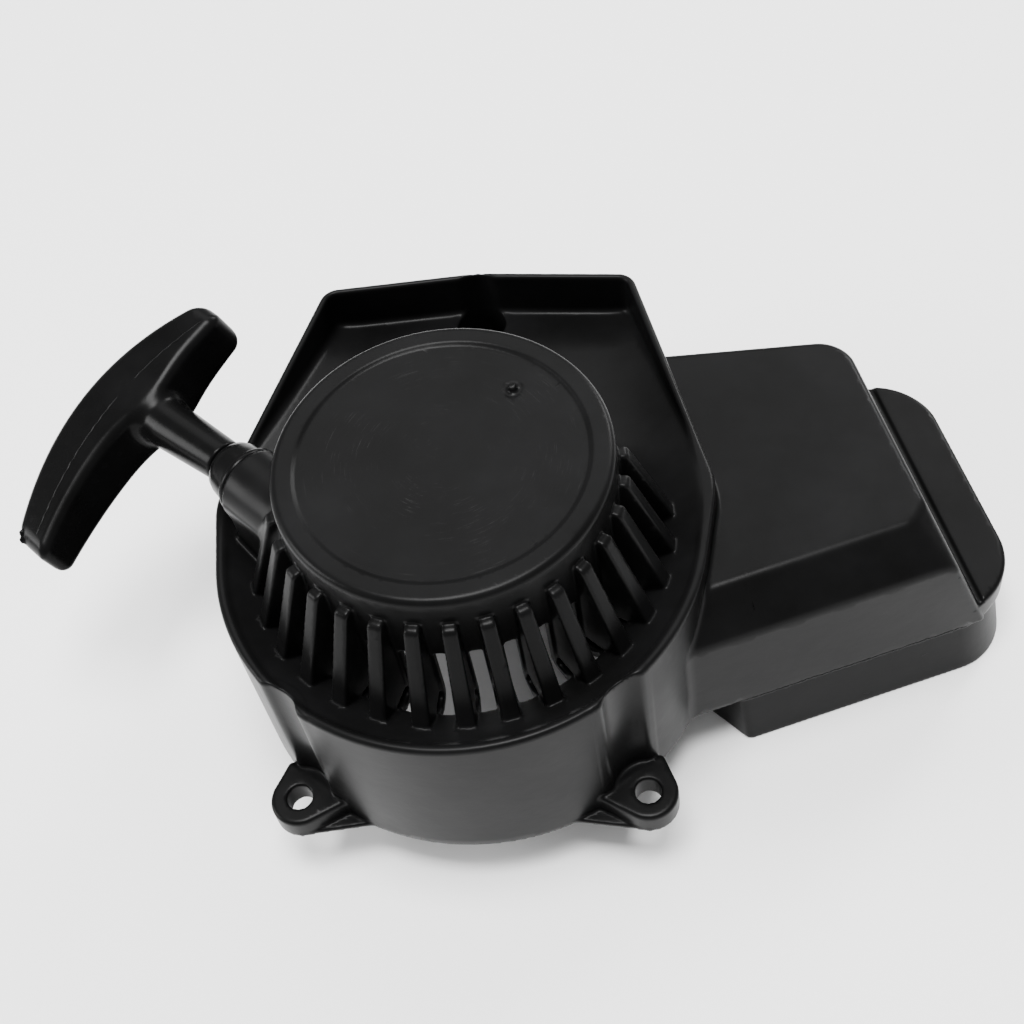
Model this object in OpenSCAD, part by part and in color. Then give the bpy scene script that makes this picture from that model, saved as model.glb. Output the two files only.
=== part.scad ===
// Recoil starter of a small two-stroke engine: vented fan housing with a cooling duct,
// rope reel with a mainspring and two pawls, and a T-handle on a pull rope.
// The origin is on the crank axis, in the plane of the mounting face. +Z points out of the engine,
// X runs through the two front bolt holes towards the duct, and +Y points at the rear bolt.

/* [Housing body] */
// Outer radius of the round body wall
body_r = 58; // [57:0.1:59]
// Height of the body rim above the mounting face
rim_h = 47; // [46.6:0.1:47.6]
// Moulded wall thickness
wall_t = 2.4; // [2.2:0.1:2.6]
// Radius of the raised drum
drum_r = 38.5; // [38.3:0.1:38.8]
// Height of the drum top above the mounting face
drum_h = 75; // [74.6:0.1:76]
// Radius of the shallow recessed disc on the drum top
disc_r = 33; // [31:0.5:34]

/* [Vents] */
// Number of cooling ribs round the drum
rib_count = 16; // [15:1:17]
// Angle between neighbouring ribs
rib_pitch = 11.6; // [11.4:0.1:11.8]
// Angle that one rib takes up
rib_angle = 4.9; // [4.5:0.1:5.3]
// Angle of the first rib, counted from +X
rib_start = -166.6; // [-167:0.1:-166]
// Height of the upper end of the ribs
rib_top_h = 67; // [66:0.5:68]
// Radius at the lower outer end of the ribs
rib_foot_r = 50; // [49:0.5:51]

/* [Ledge] */
// Half width between the centres of the ledge's rear corner roundings
ledge_half_w = 36.9; // [36.5:0.1:37.3]
// Distance from the crank axis to those centres
ledge_y = 75; // [74.8:0.1:75.2]
// Radius of the rear corner roundings
ledge_corner_r = 5; // [4.5:0.5:5.5]
// Depth of the tray below the rim at its rear
tray_depth = 12; // [11.5:0.5:12.5]

/* [Fastening] */
// Half the spacing of the two front bolt holes
lug_x = 41.5; // [41:0.1:42]
// Distance of the front bolt holes in front of the crank axis
lug_y = 48; // [47.6:0.1:48.4]
// Distance of the rear bolt hole behind the crank axis
rear_bolt_y = 76; // [75.8:0.1:76.2]
// Radius of the bolt holes
bolt_hole_r = 3.1; // [2.7:0.1:3.3]
// Thickness of the lugs under the bolt heads
lug_t = 7; // [6.5:0.5:7.5]

/* [Cooling duct] */
// Height of the duct's flat top
duct_h = 40; // [39.5:0.5:40.5]
// Height of the duct's upright front wall
duct_front_h = 30; // [29:0.5:31]
// Height of the step at the end of the duct
tab_h = 8; // [7.5:0.5:8.5]
// Depth of the skirt below the mounting face
skirt_d = 17; // [14:0.5:18]

/* [Rope] */
// Rope diameter
rope_d = 3.6; // [3.4:0.1:3.8]
// Height of the rope line above the mounting face
rope_z = 58; // [57.8:0.1:58.2]
// Direction of the rope line, counted from +X
rope_dir = 138; // [137:0.5:139]
// Radius of the reel's winding core
core_r = 17.2; // [16.8:0.1:17.4]

/* [Handle] */
// Reach of the grip bar's long end from the stem's axis
grip_long = 48.6; // [46:0.2:50]
// Reach of its short end
grip_short = 26.2; // [25:0.2:28]
// Turn of the grip bar about its stem
grip_turn = 17; // [12:1:22]
// Radius of the stem at its free end
stem_r = 5.2; // [5:0.1:5.4]

/* [Hidden] */

BLACK = [0.07, 0.07, 0.075];
STEEL = [0.62, 0.63, 0.65];
SPRING_STEEL = [0.32, 0.33, 0.36];
BRASS = [0.72, 0.58, 0.30];
REEL_GREY = [0.16, 0.16, 0.17];
ROPE_WHITE = [0.80, 0.79, 0.74];

eps = 0.01;
// a cut runs this far past the face it opens
over = 1;
// reach of a form that another one trims
far = 150;
round_fn = 96;
small_fn = 48;
hull_fn = 32;

// housing
rim_edge = 1.5;
drum_edge = 2;
ceiling_h = drum_h - 3;
deck_in_r = 43.5;
deck_in_h = 38.5;
deck_out_r = body_r - rim_edge;
disc_drop = 0.4;
// hollow under the dished deck, which keeps the deck's wall even
under_deck_r = deck_in_r + 0.8;
under_rim_h = rim_h - wall_t - 1.2;
// vent slots: they cut the drum's foot and the inner edge of the deck
slot_top_h = rib_top_h - 12;
slot_r = deck_in_r + 0.6;
slot_low = deck_in_h - 4;
slot_knee_h = deck_in_h + 3;
// ribs: the foot ends inside the deck
rib_nose_h = deck_in_h + 3.4;
rib_toe_h = deck_in_h + 2.2;
rib_heel = [deck_in_r - 0.4, deck_in_h - 1];
rib_back_h = deck_in_h + 8;
// angle by which a rib laps over the sides of its slots
rib_lap = 0.25;
slot_start = rib_start + rib_angle / 2 - rib_lap;
slot_angle = rib_pitch - rib_angle + 2 * rib_lap;
shoulder = [50, 11, 9.8];
ledge_apex_y = 83;
tray_front_y = 14;
tray_ramp_y = 27;
tray_end_y = 90;
tray_ramp_h = 40.3;
tray_end_h = rim_h - tray_depth - 1.3;
lug_r = 7;
lug_upper = [44.4, -39.6, 1];
lug_lower = [30.5, -48.8, 1];
lug_web_t = 1.6;
lug_web_tip = [24, -52.6];
lug_web_root = [30, -46];
belt_steps = 7;
well_floor = 33.6;
web_w = 16.8;
relief_r = 8;
well_r = 6.4;

// duct: each wall faces a plan direction, at a distance from the crank axis at the mounting face,
// and a leaning wall draws in by its lean for each millimetre of height
front_dir = -70.7;
duct_front = 41.34;
duct_chamfer = 9;
duct_dir = 16;
duct_end = 123.9;
duct_lean = 0.453;
corner_dir = -28;
duct_corner = 109.8;
duct_back = 73.1;
back_lean = 0.39;
duct_in_x = 44;
skirt_back_y = 66;
skirt_flare = 2;
skirt_dir = -132.1;
skirt_side = -27.5;
skirt_end = 125.4;
skirt_corner = 111.2;
// window from the body into the duct: x, y, width, depth, height
window = [45, -16, 18, 68, 32];
// circles round which the end step's outline runs: x, y, radius
tab_circles = [[72, -14.6, 4], [114.3, 14.6, 16.6], [106.5, 58.3, 12], [72, 66.5, 4]];

// post and reel stack, as heights above the mounting face
post_r = 7;
post_low = 43.2;
run = 0.08;
reel_low = 50.6;
flange_t = 1.2;
groove_half = rope_d + 0.1;
groove_low = rope_z - groove_half;
groove_high = rope_z + groove_half;
hub_r = 12;
knot_y = 12.6;
flange_r = 33.5;
boss_r = 9.6;
boss_top = 70.2;
cup_r = 35;
cup_low = 64.8;
cup_t = 0.8;
strip_t = 0.7;
strip_r0 = 10.4;
strip_pitch = 2.6;
strip_turns = 8;
strip_low = 65.6;
strip_h = 5.2;
insert_r = 3.6;
insert_l = 14;
screw_r = 2.4;
screw_head_r = 4.6;
screw_head_t = 3.4;
centre_washer_r = 10;
centre_washer_t = 0.9;
thrust_r = 11;
thrust_low = 49.7;
plate_low = 45.9;
plate_t = 1.2;
plate_r = 27.5;
collar_r = 9.4;

// pawls
pawl_x = 22;
pawl_low = 48.0;
pawl_t = 2.6;
pawl_l = 13;
pawl_rest = -118;
pawl_swing = 35;
plate_turn = 25;
pin_r = 1.8;
peg_r = 1.1;
peg_reach = 7;
slot_half = 1.6;
slot_end_gap = 0.35;
slot_steps = 12;
gap = 0.3;
pin_boss_r = 3.6;
pin_head_r = 3;
pin_head_t = 0.45;
pawl_root_r = 4;
pawl_tip_r = 1.6;
wire_r = 0.35;
spring_coil_r = 4.2;
spring_low = 51.4;
spring_rise = 1.2;
spring_steps = 20;
spring_step = 27;
// the legs of a pawl spring: one rests on the reel, one on the pawl
spring_leg = 9;
pawl_leg = 8;
coil_wire_r = 0.35;
friction_r = 8.2;
friction_steps = 30;
friction_step = 24;
screw_low = post_low - centre_washer_t - screw_head_t;

// rope line: it leaves the outer layer of the coil at a tangent
coil_r = core_r + 3 * rope_d;
line_off = coil_r - rope_d / 2;
bush_mouth = 41;
bush_flange_t = 1.6;
nose_end = 50;
stem_start = 50.3;
stem_end = 73;
stem_root_r = 6.6;
tube_r = 8.8;
tube_start = 12;
bore_start = 16;
sleeve_r = 5.5;
sleeve_start = 33;
nose_r = 5.2;
bush_cone_r = 7.8;
bush_lip_r = 6.7;
bush_bore_r = 2.3;
// grip bar: its outer side is an arc about [offset, distance], its inner side is flat
grip_arc_r = 64;
grip_arc = [6, 32];
grip_in = 72.6;
grip_half_t = 7;
grip_edge = 3;
grip_corner_r = 6;
knot_pocket_r = 5.2;
knot_r = 3.7;
washer_t = 0.9;
pocket_s = 84;
lead_s0 = 14.7;
lead_s1 = pocket_s + washer_t + 0.1;
lead_rings = 24;
lead_sides = 8;

// unit vector in the XY plane at the angle a
function dir(a) = [cos(a), sin(a)];

// point on the rope line at the distance s from where it leaves the coil
function line_point(s) = line_off * [-sin(rope_dir), cos(rope_dir)] + s * dir(rope_dir);

// one closed ring of points round p, square to the direction t
function ring(p, t, r, sides) =
    let (a = atan2(t[1], t[0]), b = asin(t[2] / norm(t)))
    let (u = [-sin(a), cos(a), 0])
    let (v = [-sin(b) * cos(a), -sin(b) * sin(a), cos(b)])
    [for (i = [0 : sides - 1]) p + r * (cos(360 * i / sides) * u + sin(360 * i / sides) * v)];

// direction of a route at its point i
function tangent(path, i) = path[min(i + 1, len(path) - 1)] - path[max(i - 1, 0)];

// round tube along a route of points
module tube_along(path, r, sides) {
    n = len(path);
    rings = [for (i = [0 : n - 1]) each ring(path[i], tangent(path, i), r, sides)];
    sides_of = [
        for (i = [0 : n - 2]) for (j = [0 : sides - 1])
            [i * sides + j, i * sides + (j + 1) % sides,
             (i + 1) * sides + (j + 1) % sides, (i + 1) * sides + j]
    ];
    first_cap = [[for (j = [sides - 1 : -1 : 0]) j]];
    last_cap = [[for (j = [0 : sides - 1]) (n - 1) * sides + j]];
    faces = [for (f = concat(sides_of, first_cap, last_cap)) [for (k = [len(f) - 1 : -1 : 0]) f[k]]];
    polyhedron(rings, faces, convexity = 4);
}

// turns a child that stands on the Z axis so that it lies on the rope line, Z pointing outwards
module on_rope_line(s) {
    p = line_point(s);
    translate([p[0], p[1], rope_z])
    rotate([0, 90, rope_dir])
    children();
}

// revolves an outline of [radius, height] points over an angle
module turned(points, start = 0, angle = 360) {
    rotate([0, 0, start])
    rotate_extrude(angle = angle, $fn = round_fn)
    polygon(points);
}

// washer or sleeve from a height low, t tall
module washer(outer, inner, low, t, fn = small_fn) {
    translate([0, 0, low])
    difference() {
        cylinder(h = t, r = outer, $fn = fn);
        translate([0, 0, -over]) cylinder(h = t + 2 * over, r = inner, $fn = fn);
    }
}

// angle of the outward normal where a belt runs from the circle a to the circle b
function belt_angle(a, b) =
    let (d = [b[0] - a[0], b[1] - a[1]])
    atan2(d[1], d[0]) - acos((a[2] - b[2]) / norm(d));

// outline of a belt round circles given as [x, y, radius], counter-clockwise, drawn in by inset
function belt(circles, inset = 0) = [
    for (i = [0 : len(circles) - 1])
        let (c = circles[i], last = circles[(i + len(circles) - 1) % len(circles)])
        let (a = belt_angle(last, c), turn = (belt_angle(c, circles[(i + 1) % len(circles)]) - a + 720) % 360)
        for (k = [0 : belt_steps]) [c[0], c[1]] + (c[2] - inset) * dir(a + turn * k / belt_steps)
];

// plan of the ledge, drawn in by the amount inset
module ledge_plan(inset) {
    polygon(belt([
        [-shoulder[0], shoulder[1], shoulder[2]], [shoulder[0], shoulder[1], shoulder[2]],
        [ledge_half_w, ledge_y, ledge_corner_r], [0, ledge_apex_y - ledge_corner_r, ledge_corner_r],
        [-ledge_half_w, ledge_y, ledge_corner_r]
    ], inset));
}

// extrudes an outline of [y, z] points along X over the full width
module along_x(points) {
    translate([-far, 0, 0])
    rotate([90, 0, 90])
    linear_extrude(2 * far)
    polygon(points);
}

// solid of the round body and drum, before it is hollowed
module body_solid() {
    turned([
        [0, 0], [body_r, 0], [body_r, rim_h - rim_edge], [deck_out_r, rim_h], [drum_r, rim_h],
        [drum_r, drum_h - drum_edge], [drum_r - drum_edge, drum_h], [disc_r, drum_h],
        [disc_r - disc_drop, drum_h - disc_drop], [0, drum_h - disc_drop]
    ]);
}

// space of the dished deck round the drum
module deck_space() {
    turned([
        [drum_r, deck_in_h], [deck_in_r, deck_in_h], [deck_out_r, rim_h],
        [deck_out_r, rim_h + over], [drum_r, rim_h + over]
    ]);
}

// everything behind the front of the tray and above its sloping floor, lowered by the amount drop
module above_tray(drop) {
    along_x([
        [tray_front_y, drum_h], [tray_front_y, rim_h - drop], [tray_ramp_y, tray_ramp_h - drop],
        [tray_end_y, tray_end_h - drop], [tray_end_y, drum_h]
    ]);
}

// hollow under the round body and in the drum
module body_hollow() {
    difference() {
        turned([
            [0, -over], [body_r - wall_t, -over], [body_r - wall_t, under_rim_h],
            [under_deck_r, deck_in_h - wall_t], [0, deck_in_h - wall_t]
        ]);
        above_tray(wall_t);
    }
    cylinder(h = ceiling_h, r = drum_r - wall_t, $fn = round_fn);
}

// space of the tray above its sloping floor
module tray_space() {
    intersection() {
        linear_extrude(drum_h) ledge_plan(2);
        above_tray(0);
    }
}

// space under the tray floor
module ledge_hollow() {
    difference() {
        translate([0, 0, -over]) linear_extrude(deck_in_h - wall_t + over) ledge_plan(wall_t);
        above_tray(wall_t);
    }
}

// one opening between two ribs
module vent_slot(i) {
    turned(
        [[drum_r - wall_t - over, slot_low], [slot_r, slot_low], [slot_r, slot_knee_h],
         [drum_r + over, slot_top_h], [drum_r - wall_t - over, slot_top_h]],
        slot_start + i * rib_pitch, slot_angle
    );
}

// one rib that leans from the drum down to the deck
module vent_rib(i) {
    turned(
        [[drum_r - wall_t / 2, rib_top_h], [drum_r + over, rib_top_h], [rib_foot_r, rib_nose_h],
         [rib_foot_r - 1, rib_toe_h], rib_heel, [drum_r - wall_t / 2, rib_back_h]],
        rib_start - rib_angle / 2 + i * rib_pitch, rib_angle
    );
}

// front lug on the right side, with its thin side web
module front_lug() {
    linear_extrude(lug_t) polygon(belt([[lug_x, -lug_y, lug_r], lug_upper, lug_lower]));
    linear_extrude(lug_web_t) polygon([lug_web_tip, [lug_x, -lug_y - lug_r], lug_web_root]);
}

// extrudes a side profile of [distance, z] points square to the plan direction a
module profile(a, points) {
    rotate([0, 0, a])
    translate([0, far, 0])
    rotate([90, 0, 0])
    linear_extrude(2 * far)
    polygon(points);
}

// outer or inner form of the duct, drawn in by the amount inset, from the height low
module duct_form(inset, low) {
    top = duct_h - inset;
    intersection() {
        profile(front_dir, [
            [-far, low], [duct_front - inset, low], [duct_front - inset, duct_front_h - inset / 2],
            [duct_front - duct_chamfer - inset, top], [-far, top]
        ]);
        profile(duct_dir, [[0, low], [duct_end - inset, low], [duct_end - inset - duct_lean * top, top], [0, top]]);
        profile(corner_dir, [
            [0, low], [duct_corner - inset, low], [duct_corner - inset - duct_lean * top, top], [0, top]
        ]);
        profile(90, [[-far, low], [duct_back - inset, low], [duct_back - inset - back_lean * top, top], [-far, top]]);
        translate([duct_in_x, -far, low]) cube([far, 2 * far, top - low]);
    }
}

// low step round the end of the duct
module end_tab(inset, low, high) {
    translate([0, 0, low])
    linear_extrude(high - low)
    polygon(belt(tab_circles, inset));
}

// form of the skirt below the mounting face, which flares outwards as it goes down
module skirt_form(inset) {
    low = -skirt_d - inset;
    flare = skirt_flare - inset;
    intersection() {
        profile(front_dir, [[-far, low], [duct_front + flare, low], [duct_front - inset, tab_h], [-far, tab_h]]);
        profile(duct_dir, [[0, low], [skirt_end + flare, low], [skirt_end - inset, tab_h], [0, tab_h]]);
        profile(corner_dir, [[0, low], [skirt_corner + flare, low], [skirt_corner - inset, tab_h], [0, tab_h]]);
        profile(skirt_dir, [[-far, low], [skirt_side - inset, low], [skirt_side - inset, tab_h], [-far, tab_h]]);
    }
}

// skirt wall along the front and the end of the duct and beside the body, open at the back
module duct_skirt() {
    difference() {
        skirt_form(0);
        skirt_form(wall_t);
        translate([0, 0, -far]) cylinder(h = 2 * far, r = body_r - wall_t / 2, $fn = round_fn);
        translate([-far, skirt_back_y, -far]) cube(2 * far);
        translate([-far, -far, tab_h - wall_t / 2]) cube(2 * far);
    }
}

module starter_housing() color(BLACK) {
    difference() {
        union() {
            difference() {
                union() {
                    body_solid();
                    linear_extrude(rim_h) ledge_plan(0);
                    duct_form(0, 0);
                    end_tab(0, 0, tab_h);
                }
                deck_space();
                tray_cut();
                body_hollow();
                ledge_hollow();
                duct_hollow();
                for (i = [0 : rib_count - 1]) vent_slot(i);
            }
            duct_skirt();
            for (i = [0 : rib_count - 1]) vent_rib(i);
            for (m = [0, 1])
                mirror([m, 0, 0]) {
                    front_lug();
                    relief_wall();
                }
            translate([0, rear_bolt_y, 0]) cylinder(h = well_floor, r = well_r + 2, $fn = round_fn);
            translate([0, 0, post_low]) cylinder(h = drum_h - post_low - over, r = post_r, $fn = round_fn);
            rope_tube();
        }
        for (side = [-1, 1]) {
            translate([side * lug_x, -lug_y, lug_t]) cylinder(h = rim_h, r = relief_r, $fn = round_fn);
            translate([side * lug_x, -lug_y, -over]) cylinder(h = lug_t + 2 * over, r = bolt_hole_r, $fn = small_fn);
        }
        translate([0, rear_bolt_y, lug_t]) cylinder(h = rim_h, r = well_r, $fn = round_fn);
        translate([0, rear_bolt_y, -over]) cylinder(h = lug_t + 2 * over, r = bolt_hole_r, $fn = small_fn);
        translate([0, 0, post_low - over]) cylinder(h = insert_l + over, r = insert_r, $fn = small_fn);
        on_rope_line(bore_start) cylinder(h = bush_mouth, r = sleeve_r + 0.05, $fn = small_fn);
    }
}

// cut that opens the tray round the drum
module tray_cut() {
    difference() {
        tray_space();
        cylinder(h = drum_h, r = drum_r, $fn = round_fn);
    }
}

// hollow of the duct, with the window through the body wall
module duct_hollow() {
    difference() {
        duct_form(wall_t, -over);
        translate([0, 0, -2 * over]) cylinder(h = drum_h, r = body_r, $fn = round_fn);
        translate([0, 0, -2 * over]) linear_extrude(drum_h) ledge_plan(0);
    }
    end_tab(wall_t, -over, tab_h - wall_t);
    translate([window[0], window[1], -over]) cube([window[2], window[3], window[4] + over]);
}

// inner wall behind the bolt relief above the right front lug
module relief_wall() {
    intersection() {
        translate([lug_x, -lug_y, 0]) cylinder(h = rim_h, r = relief_r + wall_t, $fn = round_fn);
        difference() {
            body_solid();
            deck_space();
        }
    }
}

// tube that holds the rope guide, on a block that stands on the deck
module rope_tube() {
    difference() {
        union() {
            on_rope_line(tube_start) cylinder(h = bush_mouth - tube_start, r = tube_r, $fn = small_fn);
            rotate([0, 0, rope_dir])
            translate([tube_start, line_off - web_w / 2, deck_in_h - over])
            cube([bush_mouth - tube_start - over, web_w, rope_z - deck_in_h + over]);
        }
        translate([0, 0, -over]) cylinder(h = drum_h + 2 * over, r = drum_r - over, $fn = round_fn);
    }
}

module rope_guide_bush() color(BLACK) {
    on_rope_line(0)
    turned([
        [bush_bore_r + 1, sleeve_start], [sleeve_r, sleeve_start], [sleeve_r, bush_mouth],
        [tube_r - 0.2, bush_mouth], [tube_r - 0.2, bush_mouth + bush_flange_t],
        [bush_cone_r, bush_mouth + bush_flange_t], [bush_lip_r, nose_end - 1.5], [nose_r, nose_end],
        [bush_bore_r + 1, nose_end], [bush_bore_r, nose_end - 1.5], [bush_bore_r, sleeve_start + 2]
    ]);
}

module post_insert() color(BRASS) {
    washer(insert_r, screw_r, post_low, insert_l);
}

module spring_cup() color(STEEL) {
    washer(cup_r, post_r + 0.6, ceiling_h - cup_t, cup_t, round_fn);
    washer(cup_r, cup_r - cup_t, cup_low, ceiling_h - cup_low, round_fn);
}

module mainspring() color(SPRING_STEEL) {
    for (k = [0 : 2 * strip_turns - 1]) {
        r = strip_r0 + k * strip_pitch / 2;
        translate([(k % 2) * strip_pitch / 2, 0, 0])
        turned([
            [r, strip_low], [r + strip_t, strip_low],
            [r + strip_t, strip_low + strip_h], [r, strip_low + strip_h]
        ], 180 * (k % 2), 180);
    }
    translate([strip_r0 + strip_turns * strip_pitch, -strip_t, strip_low])
    cube([cup_r - cup_t - run - strip_r0 - strip_turns * strip_pitch, strip_t, strip_h]);
}

module rope_reel() color(REEL_GREY) {
    difference() {
        union() {
            turned([
                [post_r + run, reel_low], [hub_r, reel_low], [hub_r, groove_low - flange_t],
                [flange_r, groove_low - flange_t], [flange_r, groove_low], [core_r, groove_low],
                [core_r, groove_high], [flange_r, groove_high], [flange_r, groove_high + flange_t],
                [boss_r, groove_high + flange_t], [boss_r, boss_top], [post_r + run, boss_top]
            ]);
            for (side = [-1, 1])
                translate([side * pawl_x, 0, pawl_low + pawl_t + gap])
                cylinder(h = groove_low - flange_t - pawl_low - pawl_t, r = pin_boss_r, $fn = small_fn);
        }
        for (side = [-1, 1])
            translate([side * pawl_x, 0, reel_low - over])
            cylinder(h = groove_low - reel_low + 2 * over, r = pin_r, $fn = small_fn);
        translate([0, knot_y, groove_low - 0.2])
        cylinder(h = flange_t + 2 * groove_half + over, r = knot_r - 0.1, $fn = small_fn);
        translate([0, knot_y, rope_z])
        rotate([-90, 0, 0])
        cylinder(h = core_r, r = rope_d / 2 + 0.1, $fn = small_fn);
    }
}

// headed pin that a pawl swings on
module pawl_pin(side) {
    translate([side * pawl_x, 0, pawl_low - pin_head_t - 0.1]) {
        cylinder(h = pin_head_t, r = pin_head_r, $fn = small_fn);
        cylinder(h = groove_low - pawl_low + pin_head_t + 0.1, r = pin_r, $fn = small_fn);
    }
}

module pawl_pin_1() color(STEEL) {
    pawl_pin(1);
}

module pawl_pin_2() color(STEEL) {
    pawl_pin(-1);
}

module rope_coil() color(ROPE_WHITE) {
    washer(coil_r, core_r + eps, rope_z - rope_d, 2 * rope_d, round_fn);
}

module reel_knot() color(ROPE_WHITE) {
    translate([0, knot_y, rope_z]) sphere(r = knot_r - 0.4, $fn = hull_fn);
}

module thrust_washer() color(STEEL) {
    washer(thrust_r, post_r + 0.1, thrust_low, reel_low - thrust_low - 0.1);
}

// flat hooked pawl with the peg that runs in the guide plate
module pawl() {
    translate([pawl_x, 0, 0])
    rotate([0, 0, pawl_rest]) {
        difference() {
            translate([0, 0, pawl_low])
            linear_extrude(pawl_t)
            hull() {
                circle(r = pawl_root_r, $fn = small_fn);
                translate([pawl_l, 0.6]) circle(r = pawl_tip_r, $fn = hull_fn);
            }
            translate([0, 0, pawl_low - over]) cylinder(h = pawl_t + 2 * over, r = pin_r + run, $fn = small_fn);
        }
        translate([peg_reach, 0, plate_low + 0.2])
        cylinder(h = pawl_low - plate_low + 0.3, r = peg_r, $fn = small_fn);
    }
}

module pawl_1() color(STEEL) {
    pawl();
}

module pawl_2() color(STEEL) {
    rotate([0, 0, 180]) pawl();
}

// hairpin spring of round wire round a pin boss, with a leg that rests over the pawl
module pawl_spring() {
    coil = [
        for (i = [0 : spring_steps])
            [pawl_x + spring_coil_r * cos(spring_step * i), spring_coil_r * sin(spring_step * i),
             spring_low + spring_rise * i / spring_steps]
    ];
    tube_along(concat(
        [[pawl_x + spring_coil_r, -spring_leg, spring_low]],
        coil,
        [[pawl_x - spring_coil_r, -pawl_leg, spring_low + spring_rise]]
    ), wire_r, 6);
}

module pawl_spring_1() color(SPRING_STEEL) {
    pawl_spring();
}

module pawl_spring_2() color(SPRING_STEEL) {
    rotate([0, 0, 180]) pawl_spring();
}

// centre of the guide slot, seen from the plate, when the plate has turned the share t of its range
function slot_point(t) =
    let (a = pawl_rest + t * pawl_swing)
    let (p = [pawl_x + peg_reach * cos(a), peg_reach * sin(a)])
    let (b = atan2(p[1], p[0]) - t * plate_turn)
    norm(p) * dir(b);

// edge of the guide slot at the distance off from its centre line
function slot_edge(t, off) =
    let (d = slot_point(t + eps) - slot_point(t - eps))
    slot_point(t) + off * [-d[1], d[0]] / norm(d);

// curved slot that a pawl's peg runs in, with a round end about each limit of its travel
module guide_slot() {
    translate([0, 0, plate_low - over])
    linear_extrude(plate_t + 2 * over)
    polygon(concat(
        [for (i = [-1 : slot_steps + 1]) slot_edge(i / slot_steps, slot_half)],
        [for (i = [slot_steps + 1 : -1 : -1]) slot_edge(i / slot_steps, -slot_half)]
    ));
    for (t = [0, 1])
        translate([slot_point(t)[0], slot_point(t)[1], plate_low - over])
        cylinder(h = plate_t + 2 * over, r = peg_r + slot_end_gap, $fn = small_fn);
}

module guide_plate() color(STEEL) {
    difference() {
        union() {
            washer(plate_r, post_r + 0.1, plate_low, plate_t, round_fn);
            washer(collar_r, post_r + 0.1, plate_low, thrust_low - plate_low - 0.1);
        }
        guide_slot();
        rotate([0, 0, 180]) guide_slot();
    }
}

// coil spring that presses on the guide plate, so that the plate lags behind the reel
module friction_spring() color(SPRING_STEEL) {
    low = post_low + coil_wire_r + 0.05;
    high = plate_low - coil_wire_r - 0.05;
    tube_along([
        for (i = [0 : friction_steps])
            concat(friction_r * dir(friction_step * i), low + (high - low) * i / friction_steps)
    ], coil_wire_r, lead_sides);
}

module centre_washer() color(STEEL) {
    washer(centre_washer_r, screw_r + 0.2, post_low - centre_washer_t, centre_washer_t);
}

module centre_screw() color(STEEL) {
    translate([0, 0, screw_low]) {
        difference() {
            cylinder(h = screw_head_t, r = screw_head_r, $fn = small_fn);
            translate([0, 0, -over]) cylinder(h = screw_head_t / 2 + over, r = 2.3, $fn = 6);
        }
        cylinder(h = screw_head_t + centre_washer_t + insert_l - 3, r = screw_r - 0.02, $fn = small_fn);
    }
}

module rope_lead() color(ROPE_WHITE) {
    tube_along([
        for (i = [0 : lead_rings]) concat(line_point(lead_s0 + (lead_s1 - lead_s0) * i / lead_rings), rope_z)
    ], rope_d / 2, lead_sides);
}

module knot_washer() color(STEEL) {
    on_rope_line(pocket_s)
    washer(knot_pocket_r - 0.3, rope_d / 2 + 0.1, 0, washer_t);
}

module handle_knot() color(ROPE_WHITE) {
    on_rope_line(lead_s1 + knot_r - 0.3) sphere(r = knot_r, $fn = hull_fn);
}

// bar of the grip, which lies across the rope line with its stem side flat
module grip_bar() {
    thick = [-grip_half_t, grip_half_t];
    reach = grip_arc[1] + grip_arc_r;
    intersection() {
        translate([0, grip_arc[0], grip_arc[1]])
        rotate([0, 90, 0])
        turned([
            [0, thick[0]], [grip_arc_r - grip_edge, thick[0]], [grip_arc_r, thick[0] + grip_edge],
            [grip_arc_r, thick[1] - grip_edge], [grip_arc_r - grip_edge, thick[1]], [0, thick[1]]
        ]);
        rotate([90, 0, 0])
        translate([0, 0, -far])
        linear_extrude(2 * far)
        polygon([
            [thick[0], grip_in + grip_edge], [thick[0] + grip_edge, grip_in], [thick[1] - grip_edge, grip_in],
            [thick[1], grip_in + grip_edge], [thick[1], reach], [thick[0], reach]
        ]);
        translate([-far, 0, 0])
        rotate([90, 0, 90])
        linear_extrude(2 * far)
        polygon(belt([
            [grip_corner_r - grip_short, grip_in + grip_corner_r, grip_corner_r],
            [grip_long - grip_corner_r, grip_in + grip_corner_r, grip_corner_r],
            [grip_long - grip_corner_r, reach, grip_corner_r],
            [grip_corner_r - grip_short, reach, grip_corner_r]
        ]));
    }
}

module handle_grip() color(BLACK) {
    on_rope_line(0)
    rotate([0, 0, -grip_turn])
    difference() {
        union() {
            grip_bar();
            turned([
                [0, stem_start], [stem_r - 0.5, stem_start], [stem_r, stem_start + 0.5],
                [stem_root_r, stem_end], [stem_root_r, pocket_s], [0, pocket_s]
            ]);
        }
        translate([0, 0, stem_start - over]) cylinder(h = pocket_s, r = rope_d / 2 + 0.2, $fn = small_fn);
        translate([0, 0, pocket_s]) cylinder(h = pocket_s, r = knot_pocket_r, $fn = small_fn);
    }
}

starter_housing();
rope_guide_bush();
post_insert();
spring_cup();
mainspring();
rope_reel();
pawl_pin_1();
pawl_pin_2();
rope_coil();
reel_knot();
thrust_washer();
pawl_1();
pawl_2();
pawl_spring_1();
pawl_spring_2();
guide_plate();
friction_spring();
centre_washer();
centre_screw();
rope_lead();
knot_washer();
handle_knot();
handle_grip();
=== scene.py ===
import math

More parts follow.
